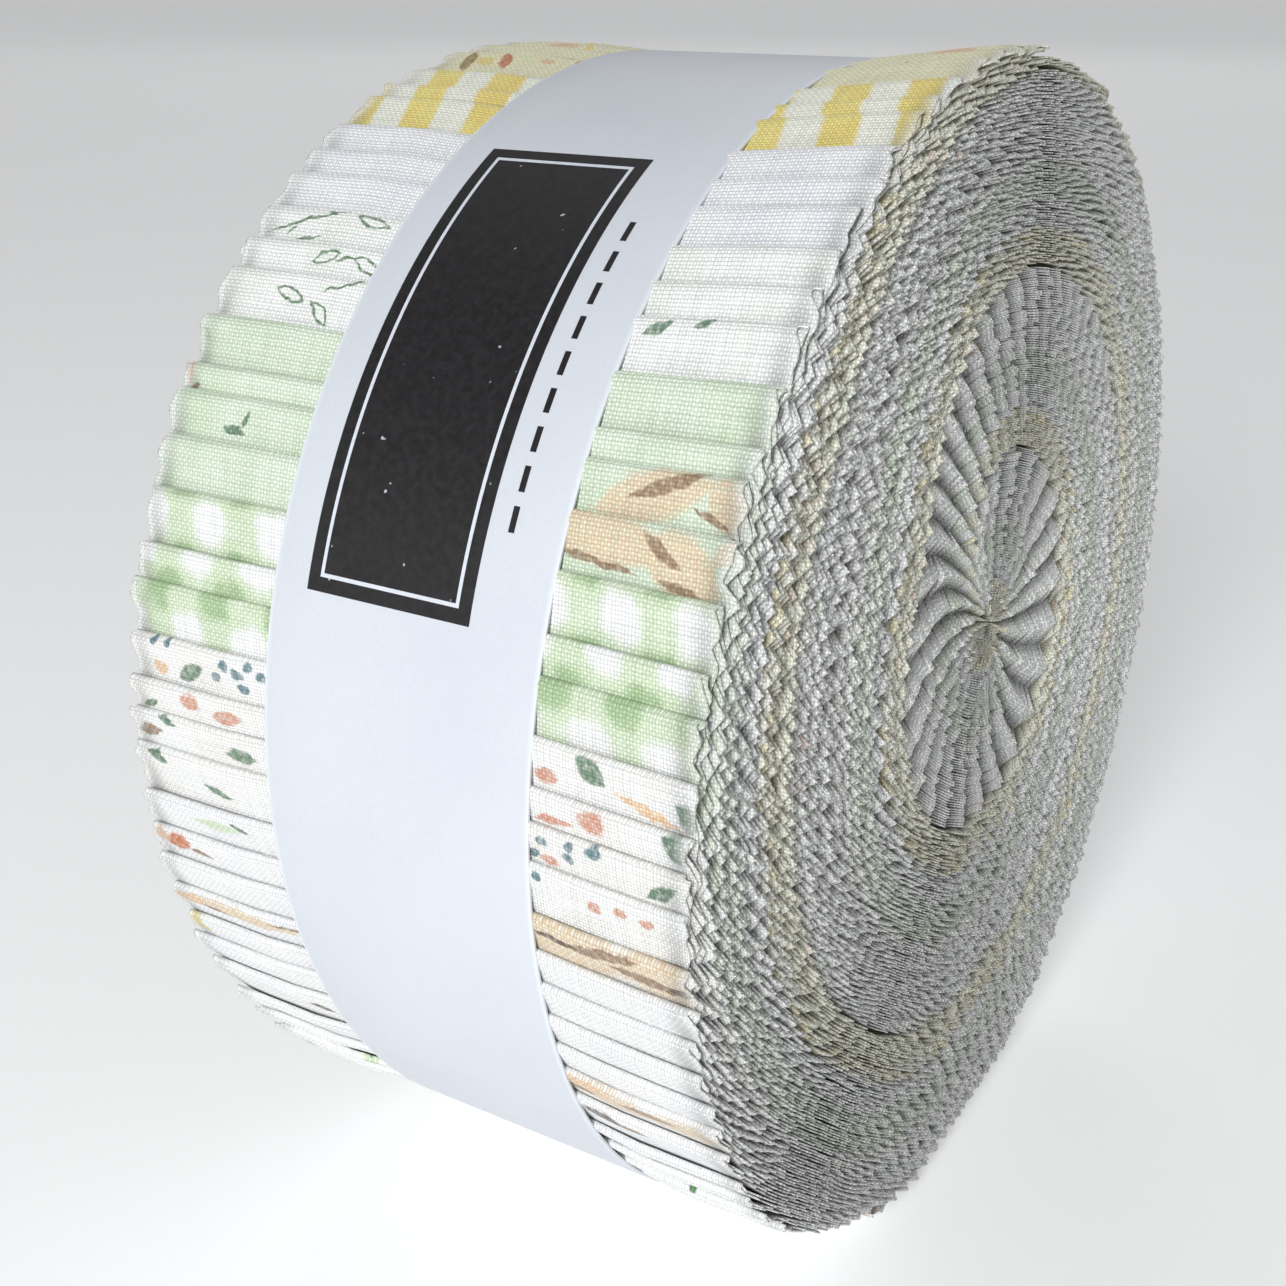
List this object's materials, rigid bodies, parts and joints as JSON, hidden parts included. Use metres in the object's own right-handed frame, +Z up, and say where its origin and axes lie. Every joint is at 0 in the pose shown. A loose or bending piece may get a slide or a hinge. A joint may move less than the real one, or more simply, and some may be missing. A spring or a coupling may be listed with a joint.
{
  "type": "quilting strip roll",
  "caption": "Roll of folded pre-cut quilting cotton strips, wound in a spiral and held by a plain paper belly band.",
  "frame": {"origin": "bottom centre of the bounding box, on the floor under the roll's middle", "axes": "+X along the roll's axis towards the end face that shows, -Y towards the face with the printed panel, +Z up"},
  "size_m": [0.0636, 0.1231, 0.1223],
  "materials": {
    "cream_print": "printed plain-weave quilting cotton, matt",
    "yellow_check": "printed plain-weave quilting cotton, matt",
    "white_cotton": "printed plain-weave quilting cotton, matt",
    "white_sprig": "printed plain-weave quilting cotton, matt",
    "pale_green": "printed plain-weave quilting cotton, matt",
    "green_check": "printed plain-weave quilting cotton, matt",
    "white_floral": "printed plain-weave quilting cotton, matt",
    "tan_print": "printed plain-weave quilting cotton, matt",
    "white_plain": "printed plain-weave quilting cotton, matt",
    "tan_stripe": "printed plain-weave quilting cotton, matt",
    "white_backing": "printed plain-weave quilting cotton, matt",
    "paper": null
  },
  "bodies": {
    "roll": {"strip_01": "cream_print", "strip_02": "cream_print", "strip_03": "cream_print", "strip_04": "cream_print", "strip_05": "cream_print", "strip_06": "cream_print", "strip_07": "yellow_check", "strip_08": "yellow_check", "strip_09": "yellow_check", "strip_10": "white_cotton", "strip_11": "white_cotton", "strip_12": "white_cotton", "strip_13": "white_sprig", "strip_14": "white_sprig", "strip_15": "white_sprig", "strip_16": "pale_green", "strip_17": "pale_green", "strip_18": "pale_green", "strip_19": "pale_green", "strip_20": "green_check", "strip_21": "green_check", "strip_22": "green_check", "strip_23": "white_floral", "strip_24": "white_floral", "strip_25": "white_floral", "strip_26": "white_floral", "strip_27": "tan_print", "strip_28": "white_plain", "strip_29": "white_plain", "strip_30": "white_plain", "strip_31": "white_plain", "strip_32": "tan_stripe", "strip_33": "tan_stripe", "strip_34": "white_backing", "strip_35": "white_backing", "strip_36": "white_backing", "strip_37": "white_backing", "strip_38": "white_backing", "strip_39": "white_backing", "strip_40": "white_backing"},
    "band": {"paper_band": "paper"}
  },
  "joints": [
    {"name": "band_slide", "type": "slide", "parent": "roll", "child": "band", "axis": [1, 0, 0], "range_m": [-0.05, 0.05]}
  ]
}
